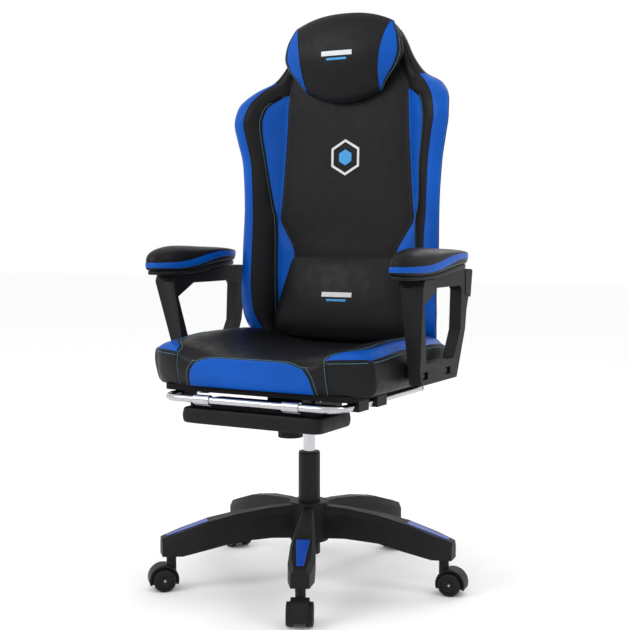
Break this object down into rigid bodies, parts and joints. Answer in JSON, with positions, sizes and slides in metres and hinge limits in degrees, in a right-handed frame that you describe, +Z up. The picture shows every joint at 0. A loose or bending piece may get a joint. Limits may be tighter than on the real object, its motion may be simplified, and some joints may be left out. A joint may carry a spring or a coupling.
{
  "type": "gaming chair",
  "caption": "High-backed swivel chair with a bucket backrest, head and lumbar cushions, loop armrests, a pull-out flip footrest and a star base on twin-wheel casters.",
  "frame": {"origin": "on the floor, on the axis of the gas lift", "axes": "+Z up, the sitter faces -Y, the sitter's left is +X"},
  "size_m": [0.7228, 0.7098, 1.312],
  "materials": {
    "black_leatherette": "fine-grained leather-look cover over foam",
    "pad_skin": "self-skinned foam",
    "webbing": "woven elastic",
    "black_nylon": "fine moulded texture",
    "wheel_nylon": "smooth nylon",
    "blue_trim": "gloss",
    "chrome": "mirror",
    "black_steel": "powder coat",
    "plated_steel": "zinc plated",
    "plywood": "birch plywood under a black lining cloth"
  },
  "bodies": {
    "base": {"star_base": "black_nylon", "base_trims": "blue_trim", "caster_stems": "plated_steel", "column_tube": "black_steel", "column_bush": "black_nylon", "thrust_bearing": "plated_steel"},
    "lift_rod": {"piston_rod": "chrome"},
    "mechanism": {"gas_cylinder": "chrome", "mechanism_housing": "black_steel", "mechanism_pins": "plated_steel", "tension_spring": "plated_steel"},
    "tension_knob": {"tension_knob": "black_nylon"},
    "height_lever": {"height_lever_rod": "black_steel", "height_lever_grip": "black_nylon"},
    "seat": {"mounting_plate": "black_steel", "mounting_bolts": "plated_steel", "seat_board": "plywood", "seat_frame": "black_steel", "seat_cushion": "black_leatherette", "armrest_frame_left": "black_nylon", "armrest_frame_right": "black_nylon", "armrest_caps": "black_nylon", "arm_pad_trays": "black_nylon", "arm_pad_left": "pad_skin", "arm_pad_right": "pad_skin", "armrest_bolts": "plated_steel", "armrest_spacers": "plated_steel", "recline_brackets": "black_steel", "recline_pins": "plated_steel", "recline_covers": "black_nylon", "rail_guides": "black_nylon"},
    "recline_lever": {"recline_lever": "black_steel", "recline_lever_grip": "black_nylon"},
    "backrest": {"hinge_arms": "black_steel", "back_frame": "black_steel", "back_straps": "webbing", "back_cushion": "black_leatherette", "lumbar_cushion": "black_leatherette", "head_pillow": "black_leatherette", "head_pillow_patches": "webbing"},
    "footrest_frame": {"footrest_rails": "chrome", "rail_end_caps": "black_nylon"},
    "footrest": {"footrest_hinges": "chrome", "footrest_board": "plywood", "footrest_pad": "black_leatherette"},
    "caster_1": {"caster_hood_1": "black_nylon"},
    "caster_wheel_1": {"caster_axle_1": "plated_steel", "caster_wheels_1": "wheel_nylon"},
    "caster_2": {"caster_hood_2": "black_nylon"},
    "caster_wheel_2": {"caster_axle_2": "plated_steel", "caster_wheels_2": "wheel_nylon"},
    "caster_3": {"caster_hood_3": "black_nylon"},
    "caster_wheel_3": {"caster_axle_3": "plated_steel", "caster_wheels_3": "wheel_nylon"},
    "caster_4": {"caster_hood_4": "black_nylon"},
    "caster_wheel_4": {"caster_axle_4": "plated_steel", "caster_wheels_4": "wheel_nylon"},
    "caster_5": {"caster_hood_5": "black_nylon"},
    "caster_wheel_5": {"caster_axle_5": "plated_steel", "caster_wheels_5": "wheel_nylon"}
  },
  "joints": [
    {"name": "seat_swivel", "type": "hinge", "parent": "base", "child": "lift_rod", "pos_m": [0, 0, 0.071], "axis": [0, 0, 1], "continuous": true},
    {"name": "gas_lift", "type": "slide", "parent": "lift_rod", "child": "mechanism", "axis": [0, 0, 1], "range_m": [-0.048, 0.032]},
    {"name": "seat_tilt", "type": "hinge", "parent": "mechanism", "child": "seat", "pos_m": [0, -0.045, 0.425], "axis": [-1, 0, 0], "range_deg": [0, 12], "stiffness_Nm_per_rad": 150, "springref_deg": -20.05},
    {"name": "tension_turn", "type": "hinge", "parent": "mechanism", "child": "tension_knob", "pos_m": [0, -0.085, 0.357], "axis": [0, 0, 1], "continuous": true},
    {"name": "height_lever_lift", "type": "hinge", "parent": "mechanism", "child": "height_lever", "pos_m": [-0.03, 0, 0.395], "axis": [0, 1, 0], "range_deg": [0, 5], "stiffness_Nm_per_rad": 3, "springref_deg": -5.73},
    {"name": "recline", "type": "hinge", "parent": "seat", "child": "backrest", "pos_m": [0, 0.245, 0.47], "axis": [-1, 0, 0], "range_deg": [0, 50]},
    {"name": "recline_lever_lift", "type": "hinge", "parent": "seat", "child": "recline_lever", "pos_m": [-0.27, 0.245, 0.47], "axis": [-1, 0, 0], "range_deg": [0, 25], "stiffness_Nm_per_rad": 1, "springref_deg": -17.19},
    {"name": "footrest_slide", "type": "slide", "parent": "seat", "child": "footrest_frame", "axis": [0, -1, 0], "range_m": [0, 0.22]},
    {"name": "footrest_flip", "type": "hinge", "parent": "footrest_frame", "child": "footrest", "pos_m": [0, -0.268, 0.441], "axis": [-1, 0, 0], "range_deg": [0, 180]},
    {"name": "caster_swivel_1", "type": "hinge", "parent": "base", "child": "caster_1", "pos_m": [0.14198, -0.28678, 0.078], "axis": [0, 0, 1], "continuous": true},
    {"name": "caster_roll_1", "type": "hinge", "parent": "caster_1", "child": "caster_wheel_1", "pos_m": [0.14997, -0.30291, 0.025], "axis": [0.8962, 0.4437, 0], "continuous": true},
    {"name": "caster_swivel_2", "type": "hinge", "parent": "base", "child": "caster_2", "pos_m": [0.31662, 0.04642, 0.078], "axis": [0, 0, 1], "continuous": true},
    {"name": "caster_roll_2", "type": "hinge", "parent": "caster_2", "child": "caster_wheel_2", "pos_m": [0.33443, 0.04903, 0.025], "axis": [-0.145, 0.9894, 0], "continuous": true},
    {"name": "caster_swivel_3", "type": "hinge", "parent": "base", "child": "caster_3", "pos_m": [0.0537, 0.31546, 0.078], "axis": [0, 0, 1], "continuous": true},
    {"name": "caster_roll_3", "type": "hinge", "parent": "caster_3", "child": "caster_wheel_3", "pos_m": [0.05672, 0.33321, 0.025], "axis": [-0.9858, 0.1678, 0], "continuous": true},
    {"name": "caster_swivel_4", "type": "hinge", "parent": "base", "child": "caster_4", "pos_m": [-0.28343, 0.14855, 0.078], "axis": [0, 0, 1], "continuous": true},
    {"name": "caster_roll_4", "type": "hinge", "parent": "caster_4", "child": "caster_wheel_4", "pos_m": [-0.29937, 0.15691, 0.025], "axis": [-0.4642, -0.8857, 0], "continuous": true},
    {"name": "caster_swivel_5", "type": "hinge", "parent": "base", "child": "caster_5", "pos_m": [-0.22887, -0.22365, 0.078], "axis": [0, 0, 1], "continuous": true},
    {"name": "caster_roll_5", "type": "hinge", "parent": "caster_5", "child": "caster_wheel_5", "pos_m": [-0.24174, -0.23623, 0.025], "axis": [0.6989, -0.7152, 0], "continuous": true}
  ]
}
